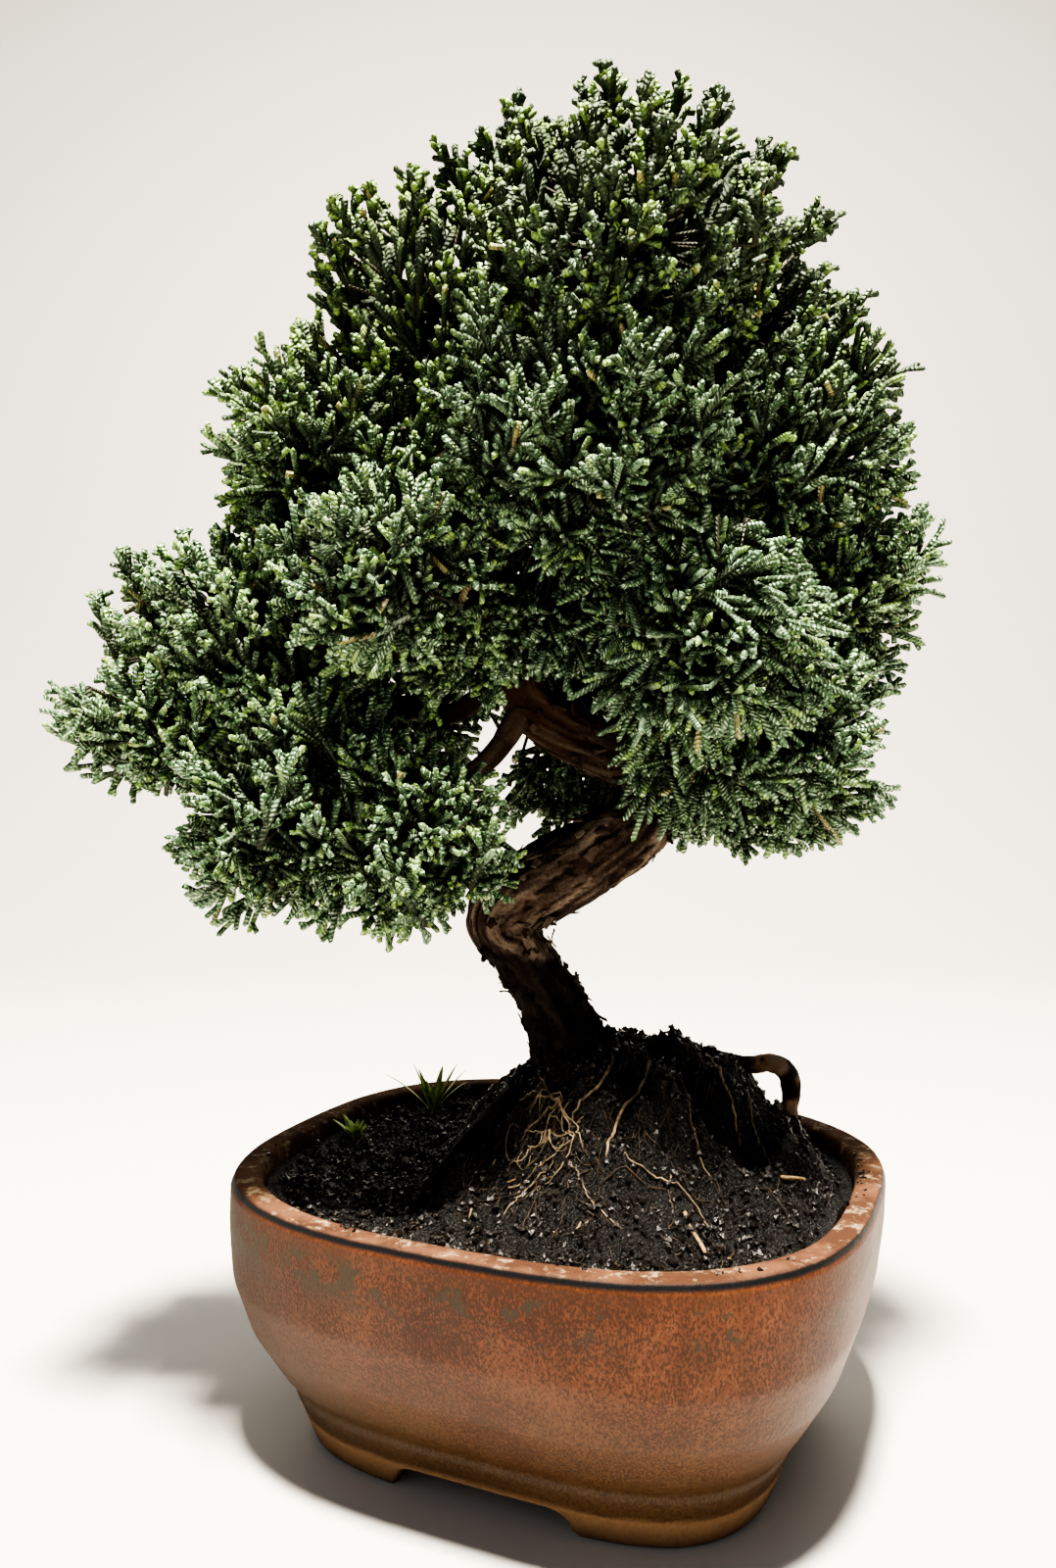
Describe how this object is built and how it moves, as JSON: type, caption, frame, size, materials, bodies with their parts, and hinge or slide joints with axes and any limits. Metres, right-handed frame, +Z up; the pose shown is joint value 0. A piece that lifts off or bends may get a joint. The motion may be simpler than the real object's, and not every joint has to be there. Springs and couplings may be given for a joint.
{
  "type": "kishu juniper bonsai",
  "caption": "Small juniper tree with a bent trunk and dense rounded foliage pads, rooted on a soil mound in a glazed oval-cornered pot with corner feet.",
  "frame": {"origin": "under the middle of the whole object's bounding box, on the surface that the pot's feet stand on", "axes": "+Z up, +X along the pot's long side, -Y out of the pot's front long side"},
  "size_m": [0.2724, 0.2116, 0.4479],
  "materials": {
    "glazed_stoneware": "gloss",
    "plastic_netting": "matte",
    "potting_soil": "matte",
    "juniper_bark": "matte",
    "juniper_foliage": "satin",
    "weed_leaf": "satin",
    "dry_straw": "matte"
  },
  "bodies": {
    "root": {"pot": "glazed_stoneware", "drain_screen_left": "plastic_netting", "drain_screen_right": "plastic_netting", "soil": "potting_soil", "wood": "juniper_bark", "foliage_crown": "juniper_foliage", "foliage_top_left": "juniper_foliage", "foliage_top_right": "juniper_foliage", "foliage_top_front": "juniper_foliage", "foliage_top_back": "juniper_foliage", "foliage_left_middle": "juniper_foliage", "foliage_right_middle": "juniper_foliage", "foliage_front_middle": "juniper_foliage", "foliage_back_left": "juniper_foliage", "foliage_back_right": "juniper_foliage", "foliage_left_inner": "juniper_foliage", "foliage_left_branch": "juniper_foliage", "foliage_left_tip": "juniper_foliage", "foliage_left_hanging": "juniper_foliage", "foliage_left_front": "juniper_foliage", "foliage_left_back": "juniper_foliage", "foliage_right_lower": "juniper_foliage", "foliage_right_front": "juniper_foliage", "foliage_right_tip": "juniper_foliage", "foliage_back_low": "juniper_foliage", "foliage_back_right_low": "juniper_foliage", "weed_back": "weed_leaf", "weed_left": "weed_leaf", "straw_front": "dry_straw", "straw_right": "dry_straw"}
  },
  "joints": []
}
